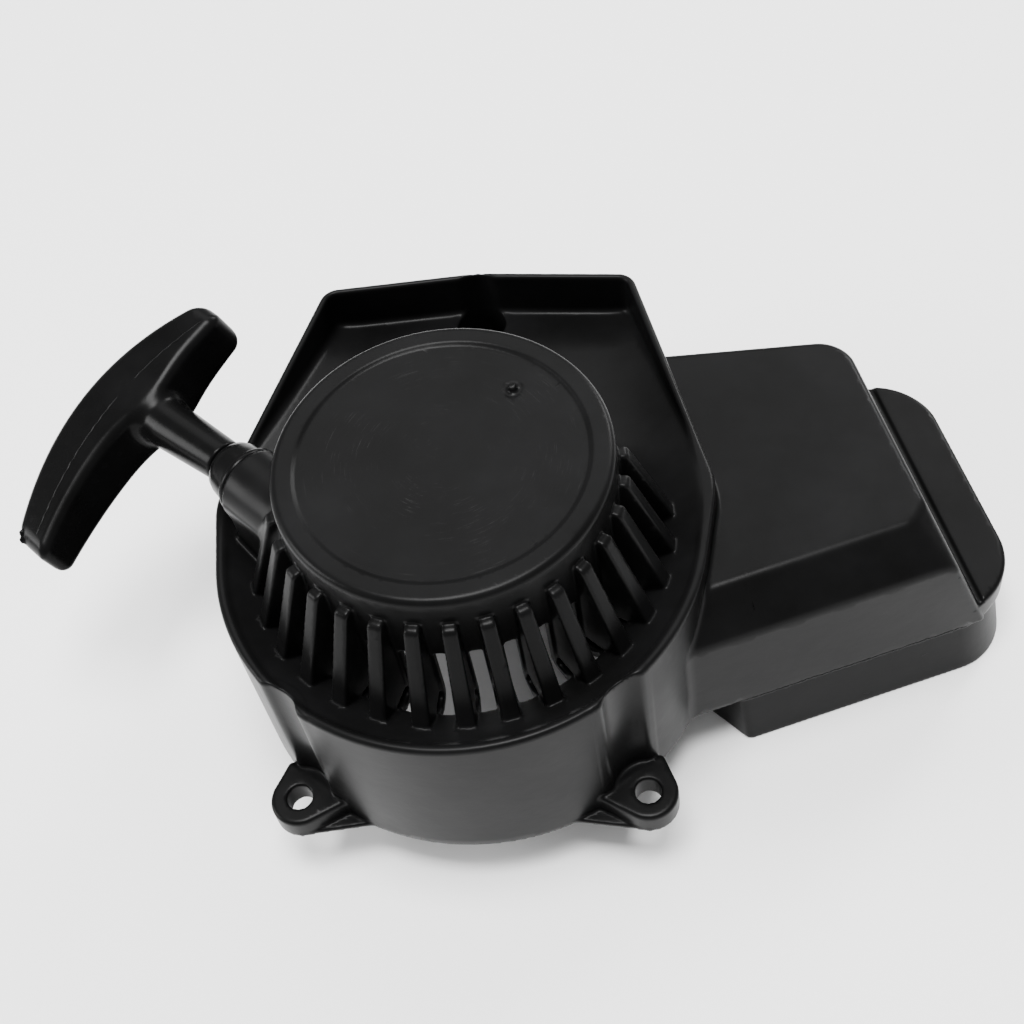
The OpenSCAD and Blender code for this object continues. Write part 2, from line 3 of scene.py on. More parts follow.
import bmesh
import bpy
import numpy as np
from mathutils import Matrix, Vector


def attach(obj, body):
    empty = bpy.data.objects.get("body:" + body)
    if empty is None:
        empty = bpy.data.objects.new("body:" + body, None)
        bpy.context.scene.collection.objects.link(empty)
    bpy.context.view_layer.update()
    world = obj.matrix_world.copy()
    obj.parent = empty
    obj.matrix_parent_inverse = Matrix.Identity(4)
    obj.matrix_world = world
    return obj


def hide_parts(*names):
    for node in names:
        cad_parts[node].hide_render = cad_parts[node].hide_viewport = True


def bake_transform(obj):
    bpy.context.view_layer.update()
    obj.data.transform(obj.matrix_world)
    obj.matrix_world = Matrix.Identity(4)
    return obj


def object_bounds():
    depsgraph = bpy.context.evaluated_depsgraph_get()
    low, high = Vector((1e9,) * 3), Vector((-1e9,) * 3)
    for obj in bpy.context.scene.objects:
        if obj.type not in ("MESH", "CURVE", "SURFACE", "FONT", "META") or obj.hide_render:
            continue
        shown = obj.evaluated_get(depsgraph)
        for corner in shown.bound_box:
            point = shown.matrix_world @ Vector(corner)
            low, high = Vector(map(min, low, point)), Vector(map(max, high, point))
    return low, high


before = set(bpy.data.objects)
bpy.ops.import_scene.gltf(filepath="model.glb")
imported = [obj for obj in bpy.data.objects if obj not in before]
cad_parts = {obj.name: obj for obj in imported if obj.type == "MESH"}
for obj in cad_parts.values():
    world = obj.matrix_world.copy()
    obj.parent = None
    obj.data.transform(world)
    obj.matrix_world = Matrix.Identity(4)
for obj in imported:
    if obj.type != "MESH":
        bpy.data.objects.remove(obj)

import openvdb
from mathutils import Matrix, Vector

CAD_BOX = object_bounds()
MM = 0.001

# ---------------------------------------------------------------- dimensions, in millimetres
# Round body, drum and dished deck, all about the crank axis.
BODY_R = 58.0
RIM_H = 47.0
WALL = 2.4
DRUM_R = 38.5
DRUM_H = 75.0
DISC_R = 33.0
RECESS_R = 33.7
RECESS_EDGE = 1.3
RECESS_D = 0.75
GATE = (15.1, 18.8)
DECK_IN_R = 43.5
DECK_IN_H = 38.5
DECK_SLOPE = 0.64
TRAY_H = 38.2
TRAY_Y = 36
# Belt of (x, y, radius) circles round the body and the ledge behind it.
LEDGE = ((0, 0, BODY_R), (36.5, 9.5, 23.3), (36.8, 75, 5), (0, 78, 5), (-36.8, 75, 5), (-36.5, 9.5, 23.3))

# Vents: ribs that lean down the drum, and the slots between them.
RIB_COUNT = 16
RIB_PITCH = math.radians(11.6)
RIB_HALF = math.radians(2.45)
RIB_START = math.radians(-166.6)
RIB_TOP = 67.4
RIB_LEAN = (0.936, 0.351)
RIB_EDGE = (41.0, 67)
SLOT_HALF = RIB_PITCH / 2 - RIB_HALF
SLOT_INSET = 0.7
SLOT_TOP = 55.0
SLOT_REACH = (30, 44.2)

# Lugs and well for the mounting screws.
LUG = (41.5, -48.0)
LUG_BELT = ((*LUG, 7.0), (44.4, -39.6, 1.0), (30.5, -48.8, 1.0))
LUG_T = 7.0
LUG_SEAT_R = 8.0
WELL_Y = 76.0
WELL_R = 8.4
WELL_SEAT_R = 6.4
SCREW_HOLE_R = 3.1

# Duct, tab and skirt. A plane is (plan direction in degrees, distance) and, if it isn't upright, its lean.
DUCT_H = 40.0
DUCT_START = 40
DUCT_FRONT = (-70.7, 41.34)
DUCT_END = (16, 120.2, 0.36)
DUCT_BACK = (92.8, 69.9, 0.39)
DUCT_CORNER = (-28, 132.0, 1.02)
DUCT_CHAMFER = (0.743, 0.669)
DUCT_CHAMFER_H = 30
TAB_H = 8.0
TAB_END = (16, 130.5)
TAB_BACK = 70.3
TAB_START = 70
GROOVE = (16, 118.0)
GROOVE_ACROSS = (106, 0)
GROOVE_HALF = 0.9
GROOVE_FLOOR = 7.1
SKIRT_D = 17.0
SKIRT_FLARE = 0.12
SKIRT_FRONT = (-70.7, 41.3)
SKIRT_END = (16, 127.8)
SKIRT_LEFT = (-132.1, -27.5)
SKIRT_BACK = 66

# Rope, rope guide and handle. The rope line is horizontal and passes beside the crank axis.
ROPE_DIR = math.radians(138)
ROPE_Z = 58.0
ROPE_R = 1.8
LINE_OFF = 26.2
COIL_R = (19.0, 22.6, 26.2)
COIL_OUT = math.radians(228)
TUBE_R = 8.8
TUBE_BORE_R = 5.55
BUSH_MOUTH = 41.0
NOSE_END = 50.0
STEM_START = 50.3
STEM_R = 5.2
GRIP_ENDS = (-45.6, 26.8)
GRIP_TURN = math.radians(17)
GRIP_BORE_R = 2.0
POCKET_S = 84.0
POCKET_R = 5.2
FLASH = ((-44.6, 4.0, 78.6, 0.9), (-44.9, 1.0, 79.4, 0.7), (-43.6, 5.0, 79.6, 0.6))
LEAD_START = 14.7
LEAD_END = 85.0
KNOT_R = 3.7
REEL_KNOT = (0, 12.6, ROPE_Z)

# Height above which the housing's plastic is the lid's, and x beyond which its seam shows as painted shade
# with a bump.
LID_FROM_Z = 73.5
SEAM_FROM_X = 62.0
FLOOR_HALF = 3000.0

# Specular level of every plastic, which has no unit.
PLASTIC_SPECULAR = 0.058


# ---------------------------------------------------------------- materials
class Shade:
    """Builds one material's nodes: each call adds a node and returns the output that is used."""

    def __init__(self, name):
        self.material = bpy.data.materials.new(name)
        self.material.use_nodes = True
        self.tree = self.material.node_tree
        self.shader = self.tree.nodes["Principled BSDF"]
        self.place = self.add("ShaderNodeTexCoord").outputs["Object"]

    def add(self, kind, **settings):
        node = self.tree.nodes.new(kind)
        for key, value in settings.items():
            setattr(node, key, value)
        return node

    def plug(self, node, values):
        for key, value in values.items():
            if isinstance(value, bpy.types.NodeSocket):
                self.tree.links.new(value, node.inputs[key])
            else:
                node.inputs[key].default_value = value
        return node

    def noise(self, scale, detail=3.0, rough=0.55, place=None):
        node = self.add("ShaderNodeTexNoise")
        self.plug(node, {
            "Vector": place or self.place, "Scale": scale, "Detail": detail, "Roughness": rough,
        })
        return node.outputs["Fac"]

    def stretch(self, scale, place=None):
        """Coordinates stretched by a different factor along each axis."""
        node = self.add("ShaderNodeMapping")
        self.plug(node, {"Vector": place or self.place, "Scale": scale})
        return node.outputs["Vector"]

    def band(self, value, low, high, to_low=0.0, to_high=1.0):
        """Maps a range of one value onto another, and keeps it there."""
        node = self.add("ShaderNodeMapRange", clamp=True)
        self.plug(node, {0: value, 1: low, 2: high, 3: to_low, 4: to_high})
        return node.outputs[0]

    def math(self, how, a, b=0.0):
        node = self.add("ShaderNodeMath", operation=how)
        self.plug(node, {0: a, 1: b})
        return node.outputs[0]

    def blend(self, factor, a, b):
        node = self.add("ShaderNodeMix", data_type="RGBA")
        self.plug(node, {0: factor, 6: a, 7: b})
        return node.outputs[2]

    def polar(self):
        """Distance from the crank axis, angle round it, and the coordinates x and z, in metres."""
        split = self.add("ShaderNodeSeparateXYZ")
        self.plug(split, {0: self.place})
        x, y, z = (split.outputs[i] for i in range(3))
        squares = self.math("ADD", self.math("MULTIPLY", x, x), self.math("MULTIPLY", y, y))
        return self.math("SQRT", squares), self.math("ARCTAN2", y, x), x, z

    def join(self, x, y, z=0.0):
        node = self.add("ShaderNodeCombineXYZ")
        self.plug(node, {0: x, 1: y, 2: z})
        return node.outputs[0]

    def bump(self, height, strength, distance, normal=None):
        node = self.add("ShaderNodeBump")
        self.plug(node, {"Height": height, "Strength": strength, "Distance": distance})
        if normal is not None:
            self.tree.links.new(normal, node.inputs["Normal"])
        return node.outputs["Normal"]

    def finish(self, **values):
        self.plug(self.shader, {key.replace("_", " "): value for key, value in values.items()})
        return self.material


def colour(value, tint=1.0):
    """Grey, its blue channel multiplied by the tint."""
    return (value, value, value * tint, 1.0)


def moulded_plastic(name, dark, light, rough, scratches=0.4):
    """Moulded plastic, not yet finished: uneven sheen, fine grain, rubbed patches, hairline scratches."""
    s = Shade(name)
    cloud = s.noise(38.0, 4.0, 0.6)
    grain = s.noise(1900.0, 2.0, 0.5)
    waves = s.noise(140.0, 3.0, 0.5)
    hair = s.noise(60.0, 6.0, 0.65, s.stretch((5.0, 95.0, 30.0), tilted(s)))
    line = s.band(s.math("ABSOLUTE", s.math("SUBTRACT", hair, 0.5)), 0.0, 0.012, 1.0, 0.0)
    worn = s.band(cloud, 0.52, 0.68)
    scratch = s.math("MULTIPLY", s.math("MULTIPLY", line, worn), scratches)
    shade = s.blend(s.band(cloud, 0.35, 0.7), colour(dark), colour(light, 1.04))
    shade = s.blend(s.math("MULTIPLY", scratch, 0.5), shade, colour(light * 3))
    sheen = s.band(cloud, 0.3, 0.75, rough - 0.05, rough + 0.07)
    sheen = s.math("ADD", sheen, s.math("MULTIPLY", scratch, 0.2))
    normal = s.bump(grain, 0.10, 0.00006)
    normal = s.bump(waves, 0.10, 0.0006, normal)
    return s, shade, sheen, normal


def tilted(s):
    """Object coordinates turned askew, so that scratches don't line up with the part."""
    node = s.add("ShaderNodeMapping")
    s.plug(node, {"Vector": s.place, "Rotation": (0.3, 0.2, 0.7)})
    return node.outputs["Vector"]


def plain_plastic(name, dark, light, rough, scratches=0.4):
    s, shade, sheen, normal = moulded_plastic(name, dark, light, rough, scratches)
    return s.finish(Base_Color=shade, Roughness=sheen, Normal=normal, Specular_IOR_Level=PLASTIC_SPECULAR)


def housing_plastic():
    """The housing's plastic, with a ragged line of painted shade and a bump for the parting seam under the
    duct's tab, and arcs rubbed into the lid.
    """
    s, shade, sheen, normal = moulded_plastic("housing_plastic", 0.0026, 0.0044, 0.33)
    radius, angle, across, height = s.polar()
    lid = s.math("GREATER_THAN", height, LID_FROM_Z * MM)
    ragged = s.band(s.noise(420.0, 4.0, 0.7), 0.3, 0.7, -0.00025, 0.00035)
    off_line = s.math("ABSOLUTE", s.math("SUBTRACT", height, ragged))
    seam = s.math("MULTIPLY", s.band(off_line, 0.00012, 0.0004, 1.0, 0.0),
                  s.math("GREATER_THAN", across, SEAM_FROM_X * MM))
    # Painted shade: the seam's groove is darkened in the colour, as well as bumped.
    shade = s.blend(seam, shade, colour(0.0006))
    normal = s.bump(seam, 1.0, 0.0006, normal)
    around = s.join(s.math("MULTIPLY", radius, 5200.0), s.math("MULTIPLY", angle, 2.2))
    arcs = s.noise(1.0, 5.0, 0.7, around)
    patches = s.band(s.noise(90.0, 2.0), 0.5, 0.62)
    fine = s.math("MULTIPLY", s.band(arcs, 0.6, 0.72), s.math("MULTIPLY", patches, lid))
    inside = s.math("LESS_THAN", radius, DISC_R * MM)
    fine = s.math("MULTIPLY", fine, inside)
    shade = s.blend(s.math("MULTIPLY", fine, 0.8), shade, colour(0.04))
    sheen = s.math("ADD", sheen, s.math("MULTIPLY", fine, 0.12))
    return s.finish(Base_Color=shade, Roughness=sheen, Normal=normal, Specular_IOR_Level=PLASTIC_SPECULAR)


def metal(name, base, rough, spotted=0.25, brushed=(30.0, 30.0, 900.0)):
    """Plated steel or brass: brushed grain, dull spots and a little grime."""
    s = Shade(name)
    brush = s.noise(14.0, 4.0, 0.6, s.stretch(brushed))
    cloud = s.noise(160.0, 4.0, 0.6)
    grime = s.band(cloud, 0.55, 0.75)
    dull = tuple(c * 0.45 for c in base[:3]) + (1.0,)
    shade = s.blend(s.math("MULTIPLY", grime, spotted), base, dull)
    sheen = s.band(brush, 0.3, 0.7, rough - 0.06, rough + 0.08)
    sheen = s.math("ADD", sheen, s.math("MULTIPLY", grime, 0.15))
    normal = s.bump(brush, 0.15, 0.00005)
    return s.finish(Base_Color=shade, Metallic=1.0, Roughness=sheen, Normal=normal)


def braided_rope(name, base):
    """Braided nylon: crossing strands, fuzz and a little dirt."""
    s = Shade(name)
    strands = []
    for turn in (0.8, -0.8):
        wave = s.add("ShaderNodeTexWave", wave_type="BANDS", bands_direction="DIAGONAL")
        node = s.add("ShaderNodeMapping")
        s.plug(node, {"Vector": s.place, "Rotation": (turn, 0.0, turn)})
        s.plug(wave, {"Vector": node.outputs["Vector"], "Scale": 420.0, "Distortion": 1.5, "Detail": 2.0})
        strands.append(wave.outputs["Fac"])
    weave = s.math("MULTIPLY", strands[0], strands[1])
    dirt = s.band(s.noise(260.0, 5.0, 0.65), 0.45, 0.8)
    fuzz = s.noise(6000.0, 2.0)
    dirty = tuple(c * 0.6 for c in base[:3]) + (1.0,)
    shade = s.blend(s.math("MULTIPLY", dirt, 0.6), base, dirty)
    normal = s.bump(weave, 0.8, 0.0003)
    normal = s.bump(fuzz, 0.3, 0.00008, normal)
    return s.finish(Base_Color=shade, Roughness=0.85, Normal=normal)


PLASTIC = housing_plastic()
GRIP_PLASTIC = plain_plastic("grip_plastic", 0.0018, 0.0032, 0.27, 0.6)
GUIDE_PLASTIC = plain_plastic("guide_plastic", 0.0018, 0.0032, 0.24, 0.3)
REEL_PLASTIC = plain_plastic("reel_plastic", 0.05, 0.07, 0.42, 0.3)
STEEL = metal("plated_steel", (0.60, 0.60, 0.61, 1.0), 0.30)
SPRING_STEEL = metal("blued_spring_steel", (0.20, 0.21, 0.24, 1.0), 0.28, 0.4)
BRASS = metal("turned_brass", (0.70, 0.50, 0.20, 1.0), 0.25)
ROPE = braided_rope("braided_nylon", (0.62, 0.60, 0.53, 1.0))


# ---------------------------------------------------------------- solids from distance fields
class Grid:
    """Sample points of a box, as three arrays that broadcast against each other."""

    def __init__(self, low, high, step):
        self.low, self.step = low, step
        self.axes = [np.arange(a, b + step, step, dtype=np.float32) for a, b in zip(low, high)]
        self.x = self.axes[0][:, None, None]
        self.y = self.axes[1][None, :, None]
        self.z = self.axes[2][None, None, :]

    def block(self, low, high):
        """The part of the grid inside a smaller box, and where it lies in the whole."""
        part = Grid.__new__(Grid)
        where = tuple(
            slice(max(int((a - o) / self.step), 0), int((b - o) / self.step) + 2)
            for a, b, o in zip(low, high, self.low)
        )
        part.axes = [axis[w] for axis, w in zip(self.axes, where)]
        part.x = part.axes[0][:, None, None]
        part.y = part.axes[1][None, :, None]
        part.z = part.axes[2][None, None, :]
        return where, part


def meet(a, b, r=0.0):
    """Intersection of two fields, its edge rounded to the radius r."""
    if not r:
        return np.maximum(a, b)
    corner = np.sqrt(np.maximum(a + r, 0) ** 2 + np.maximum(b + r, 0) ** 2)
    return np.minimum(np.maximum(a, b), -r) + corner


def join(a, b, r=0.0):
    """Union of two fields, its crease filled to the radius r."""
    return -meet(-a, -b, r)


def cut(a, b, r=0.0):
    """What is left of a when b is taken away."""
    return meet(a, -b, r)


def plane(p, angle, distance, lean=0.0):
    """Plane that faces a plan direction in degrees. It draws in by its lean for each millimetre up."""
    a = math.radians(angle)
    flat = p.x * math.cos(a) + p.y * math.sin(a) - distance
    if not lean:
        return flat
    return (flat + lean * p.z) / math.sqrt(1 + lean * lean)


def rod(p, x, y, r):
    """Upright cylinder without ends."""
    return np.hypot(p.x - x, p.y - y) - r


def belt(p, circles):
    """Plan of a belt round circles, given counter-clockwise as (x, y, radius)."""
    normals = []
    for (ax, ay, ar), (bx, by, br) in zip(circles, circles[1:] + circles[:1]):
        gap = math.hypot(bx - ax, by - ay)
        normals.append(math.atan2(by - ay, bx - ax) - math.acos((ar - br) / gap))
    field = np.float32(-1e3)
    for (cx, cy, r), a in zip(circles, normals):
        field = np.maximum(field, (p.x - cx) * math.cos(a) + (p.y - cy) * math.sin(a) - r)
    for i, (cx, cy, r) in enumerate(circles):
        a, b = normals[i - 1], normals[i]
        middle, half = a + (b - a) % math.tau / 2, (b - a) % math.tau / 2
        angle = np.arctan2(p.y - cy, p.x - cx) - middle
        inside = np.abs((angle + math.pi) % math.tau - math.pi) < half
        field = np.where(inside, np.hypot(p.x - cx, p.y - cy) - r, field)
    return field


def mesh_from_field(name, grid, field, place=None, adaptivity=0.01):
    """Closed mesh on the field's zero level, shaded by the field's own slope, in metres."""
    field = np.clip(field, -4 * grid.step, 4 * grid.step)
    volume = openvdb.FloatGrid(4 * grid.step)
    volume.copyFromArray(field)
    points, tris, quads = volume.convertToPolygons(isovalue=0.0, adaptivity=adaptivity)
    slopes = field_slope(field, points)
    points = points * grid.step + np.array(grid.low)
    corners = np.concatenate([tris.ravel(), quads.ravel()]).astype(np.int32)
    sizes = np.concatenate([np.full(len(tris), 3), np.full(len(quads), 4)]).astype(np.int32)
    starts = np.concatenate([[0], np.cumsum(sizes)[:-1]]).astype(np.int32)
    a, b, c = (points[i] for i in corners[:3])
    if np.dot(np.cross(b - a, c - a), slopes[corners[0]]) < 0:
        for faces in (tris, quads):
            faces[:] = faces[:, ::-1]
        corners = np.concatenate([tris.ravel(), quads.ravel()]).astype(np.int32)
    if place is not None:
        turn = np.array(place.to_3x3())
        points = points @ turn.T + np.array(place.translation)
        slopes = slopes @ turn.T
    mesh = bpy.data.meshes.new(name)
    mesh.vertices.add(len(points))
    mesh.vertices.foreach_set("co", (points * MM).astype(np.float32).ravel())
    mesh.loops.add(len(corners))
    mesh.loops.foreach_set("vertex_index", corners)
    mesh.polygons.add(len(sizes))
    mesh.polygons.foreach_set("loop_start", starts)
    mesh.polygons.foreach_set("loop_total", sizes)
    mesh.update(calc_edges=True)
    mesh.validate()
    mesh.polygons.foreach_set("use_smooth", np.ones(len(mesh.polygons), bool))
    mesh.normals_split_custom_set_from_vertices(slopes.astype(np.float32))
    return add_object(name, mesh)


def field_slope(field, points):
    """Unit slope of the field at points given in cells."""
    slope = np.empty((len(points), 3), np.float32)
    for axis in range(3):
        ahead, behind = points.copy(), points.copy()
        ahead[:, axis] += 0.75
        behind[:, axis] -= 0.75
        slope[:, axis] = sample(field, ahead) - sample(field, behind)
    return slope / np.maximum(np.linalg.norm(slope, axis=1, keepdims=True), 1e-9)


def sample(field, points):
    """Trilinear value of the field at points given in cells."""
    shape = np.array(field.shape)
    points = np.clip(points, 0, shape - 1.001)
    base = points.astype(np.int32)
    part = points - base
    value = np.zeros(len(points), np.float32)
    for dx in (0, 1):
        for dy in (0, 1):
            for dz in (0, 1):
                weight = (
                    (part[:, 0] if dx else 1 - part[:, 0])
                    * (part[:, 1] if dy else 1 - part[:, 1])
                    * (part[:, 2] if dz else 1 - part[:, 2])
                )
                value += weight * field[base[:, 0] + dx, base[:, 1] + dy, base[:, 2] + dz]
    return value


def add_object(name, data):
    """New object in the scene, holding a mesh, a light or a camera."""
    piece = bpy.data.objects.new(name, data)
    bpy.context.scene.collection.objects.link(piece)
    return piece


# ---------------------------------------------------------------- housing
def deck_height(p):
    """Height of the dished deck, which runs smoothly into the tray floor behind the drum."""
    r = np.hypot(p.x, p.y)
    dish = DECK_IN_H + np.maximum(r - DECK_IN_R, -2) * DECK_SLOPE
    tray = TRAY_H - 0.1 * (p.y - TRAY_Y)
    # Distance in from the ledge's slanting sides, where the tray rises as a flank.
    inward = 60.88 - 0.962 * np.abs(p.x) - 0.273 * p.y
    flank = RIM_H - 0.24 * (p.y - 25.5) - 0.5 * inward
    return soft_min(dish, -soft_min(-tray, -flank, 4.0), 3.0)


def soft_min(a, b, k):
    """Smaller of two values, blended over the width k."""
    h = np.clip(0.5 + 0.5 * (b - a) / k, 0, 1)
    return b + (a - b) * h - k * h * (1 - h)


def duct_field(p):
    """The duct's hood, without its floor."""
    front = plane(p, *DUCT_FRONT)
    chamfer = DUCT_CHAMFER[0] * front + DUCT_CHAMFER[1] * (p.z - DUCT_CHAMFER_H)
    walls = meet(plane(p, *DUCT_END), plane(p, *DUCT_BACK), 6.5)
    walls = meet(walls, plane(p, *DUCT_CORNER), 0.8)
    walls = meet(walls, front, 1.2)
    roof = meet(p.z - DUCT_H, chamfer, 1.0)
    return meet(meet(roof, walls, 1.0), DUCT_START - p.x)


def tab_plan(p):
    """Plan of the flat tab round the duct's foot."""
    outline = meet(plane(p, *TAB_END), plane(p, *DUCT_FRONT), 17)
    return meet(meet(outline, p.y - TAB_BACK, 12), TAB_START - p.x)


def skirt_field(p):
    """Wall that hangs below the mounting face, flaring as it goes down."""
    flare = -SKIRT_FLARE * p.z
    outline = meet(plane(p, *SKIRT_FRONT) - flare, plane(p, *SKIRT_END) - flare, 15)
    outline = meet(outline, plane(p, *SKIRT_LEFT), 1.0)
    wall = np.abs(outline + WALL / 2) - WALL / 2
    wall = meet(meet(wall, -SKIRT_D - p.z, 0.4), p.z - TAB_H + 2)
    return meet(meet(wall, BODY_R - 0.6 - np.hypot(p.x, p.y)), p.y - SKIRT_BACK)


def housing_field(g):
    """The whole housing. Each detail is worked out only in the block of the grid that holds it."""
    r = np.hypot(g.x, g.y)
    plan = belt(g, LEDGE)
    form = meet(plan, g.z - RIM_H, 1.1)
    where, p = g.block((38, -60, -20), (140, 90, 44))
    form[where] = join(form[where], duct_field(p), 1.2)
    floor = deck_height(g)
    steep = np.gradient(floor[:, :, 0], g.step)
    scale = 1 / np.sqrt(1 + steep[0] ** 2 + steep[1] ** 2)[:, :, None]
    space = meet((floor - g.z) * scale, plan + 1.9, 1.6)
    form = cut(form, space, 0.8)
    lid = np.clip((RECESS_R - r) / RECESS_EDGE, 0, 1)
    drum = meet(r - DRUM_R, g.z - DRUM_H + RECESS_D * lid * lid * (3 - 2 * lid), 1.8)
    form = join(form, drum, 1.2)

    tab = meet(tab_plan(p), p.z - TAB_H, 1.0)
    groove = meet(np.abs(plane(p, *GROOVE)) - GROOVE_HALF, GROOVE_FLOOR - p.z, 0.5)
    groove = meet(groove, -37 - plane(p, *GROOVE_ACROSS), 1.0)
    form[where] = np.minimum(form[where], cut(tab, groove, 0.6))

    shell = meet(cut(form, form + WALL), -g.z, 0.5)
    roof = meet(r - DRUM_R + 1, np.abs(g.z - 73) - 1)
    np.minimum(shell, roof, out=shell)

    where, p = g.block((38, -60, -20), (140, 90, 10))
    shell[where] = np.minimum(shell[where], skirt_field(p))

    where, p = g.block((-54, -54, 30), (54, 54, 76))
    shell[where] = vents(p, shell[where])
    for side in (-1, 1):
        low = (min(side * 24, side * 56), -58, -2)
        high = (max(side * 24, side * 56), -28, 52)
        where, p = g.block(low, high)
        shell[where] = front_lug(p, shell[where], form[where], side)
    where, p = g.block((-14, 62, -2), (14, 88, 52))
    shell[where] = rear_well(p, shell[where])
    where, p = g.block((-62, -40, 30), (0, 30, 76))
    shell[where] = rope_tube(p, shell[where], floor[where[:2]])
    shell = gate_mark(g, shell)
    where, p = g.block((-9, -9, 40), (9, 9, 76))
    post = meet(meet(rod(p, 0, 0, 7.0), 43.2 - p.z, 0.5), p.z - 73)
    post = cut(post, meet(rod(p, 0, 0, 3.6), p.z - 58))
    shell[where] = join(shell[where], post, 1.0)
    return shell


def gate_mark(g, shell):
    """Broken-off moulding gate on the drum top."""
    where, p = g.block((11, 14, 72), (20, 24, 77))
    r = np.hypot(p.x - GATE[0], p.y - GATE[1])
    angle = np.arctan2(p.y - GATE[1], p.x - GATE[0])
    moat = np.hypot(r - 1.9 - 0.15 * np.sin(3 * angle), p.z - 74.4) - 0.45
    shell[where] = cut(shell[where], moat, 0.15)
    stub = meet(r - 1.0, p.z - 75.5 - 0.25 * np.sin(2 * angle + 1), 0.3)
    shell[where] = join(shell[where], stub, 0.2)
    return shell


def vents(p, shell):
    """Slots through the drum wall and the deck, with a rib that leans down between each pair."""
    r = np.hypot(p.x, p.y)
    theta = np.arctan2(p.y, p.x)
    slot = nearest(theta, RIB_START + RIB_PITCH / 2, RIB_COUNT)
    opening = meet(r * (slot - SLOT_HALF) + SLOT_INSET, p.z - SLOT_TOP, 1.2)
    opening = meet(opening, r - SLOT_REACH[1], 0.6)
    opening = meet(opening, SLOT_REACH[0] - r)
    shell = cut(shell, opening, 0.35)
    rib = nearest(theta, RIB_START, RIB_COUNT)
    outer = RIB_LEAN[0] * (r - RIB_EDGE[0]) + RIB_LEAN[1] * (p.z - RIB_EDGE[1])
    solid = meet(outer, p.z - RIB_TOP, 1.0)
    solid = meet(solid, r * (rib - RIB_HALF), 0.6)
    solid = meet(solid, np.maximum(37.0 - r, 39.6 - p.z))
    return join(shell, solid, 0.4)


def nearest(theta, first, count):
    """Angle from each point to the nearest of count equally spaced directions."""
    turn = (theta - first + RIB_PITCH / 2) % math.tau
    index = np.minimum(np.floor(turn / RIB_PITCH), count - 1)
    gap = np.abs(turn - RIB_PITCH / 2 - index * RIB_PITCH)
    return np.minimum(gap, math.tau - gap)


def front_lug(p, shell, form, side):
    """Lug for a mounting screw on the right (side 1) or the left (side -1), with its recess and web."""
    x = side * LUG[0]
    mirrored = Grid.__new__(Grid)
    mirrored.x, mirrored.y, mirrored.z = side * p.x, p.y, p.z
    lug = meet(belt(mirrored, LUG_BELT), p.z - LUG_T, 0.9)
    backing = meet(rod(p, x, LUG[1], 10.4), form)
    solid = join(join(shell, backing, 0.3), meet(lug, -p.z), 0.8)
    solid = cut(solid, meet(rod(p, x, LUG[1], LUG_SEAT_R), LUG_T - p.z, 0.6), 0.8)
    solid = join(solid, meet(lug, -p.z), 0.3)
    across = side * p.x
    front_edge = -0.136 * (across - 24) - 0.991 * (p.y + 52.6)
    outer_edge = 0.616 * (across - LUG[0]) + 0.788 * (p.y + 55)
    web = np.maximum(front_edge, outer_edge)
    web = np.maximum(web, -0.74 * (across - 30) + 0.67 * (p.y + 46))
    solid = join(solid, meet(web, p.z - 1.6, 0.3), 0.4)
    solid = cut(solid, rod(p, x, LUG[1], SCREW_HOLE_R), 0.4)
    return meet(solid, -p.z, 0.5)


def rear_well(p, shell):
    """Well that a mounting screw goes down, at the back of the ledge."""
    boss = meet(meet(rod(p, 0, WELL_Y, WELL_R), p.z - 33.6, 1.0), -p.z, 0.5)
    solid = join(shell, boss, 0.8)
    solid = cut(solid, meet(rod(p, 0, WELL_Y, WELL_SEAT_R), LUG_T - p.z, 0.5), 0.5)
    return cut(solid, rod(p, 0, WELL_Y, SCREW_HOLE_R), 0.3)


def along_rope(p):
    """Distance along the rope line, and sideways from it."""
    c, s = math.cos(ROPE_DIR), math.sin(ROPE_DIR)
    return p.x * c + p.y * s, p.x * s - p.y * c + LINE_OFF


def rope_tube(p, shell, floor):
    """Tube that the rope leaves by, with the web below it down to the deck."""
    s, q = along_rope(p)
    r = np.hypot(p.x, p.y)
    tube = meet(np.hypot(q, p.z - ROPE_Z) - TUBE_R, s - BUSH_MOUTH, 0.5)
    web = meet(np.maximum(np.abs(q) - 8.4, p.z - ROPE_Z), s - BUSH_MOUTH + 0.4, 0.5)
    arm = join(tube, web, 1.5)
    arm = np.maximum(np.maximum(arm, 37.3 - r), np.maximum(floor - 1 - p.z, -s))
    solid = join(shell, arm, 1.6)
    bore = np.maximum(np.hypot(q, p.z - ROPE_Z) - TUBE_BORE_R, 16 - s)
    return cut(solid, bore, 0.2)


def build_housing():
    step = 0.5
    grid = Grid((-62.1, -60.1, -19.2), (134.5, 87.0, 77.0), step)
    piece = mesh_from_field("housing_shell", grid, housing_field(grid), adaptivity=0.004)
    return finish_piece(piece, "housing", "housing_plastic", PLASTIC, "starter_housing")


# ---------------------------------------------------------------- handle and rope guide
def rope_frame(turn=0.0):
    """Local frame on the rope line, in millimetres: X outwards along it, Y along the grip, Z down."""
    out = Vector((math.cos(ROPE_DIR), math.sin(ROPE_DIR), 0))
    flat = Vector((math.sin(ROPE_DIR), -math.cos(ROPE_DIR), 0))
    along = flat * math.cos(turn) + Vector((0, 0, math.sin(turn)))
    across = out.cross(along)
    start = -LINE_OFF * flat + Vector((0, 0, ROPE_Z))
    frame_matrix = Matrix((out, along, across)).transposed().to_4x4()
    frame_matrix.translation = start
    return frame_matrix


def grip_half_height(y):
    """Half the bar's height at a distance along it."""
    return 7.2 - 0.0012 * (y + 6) ** 2


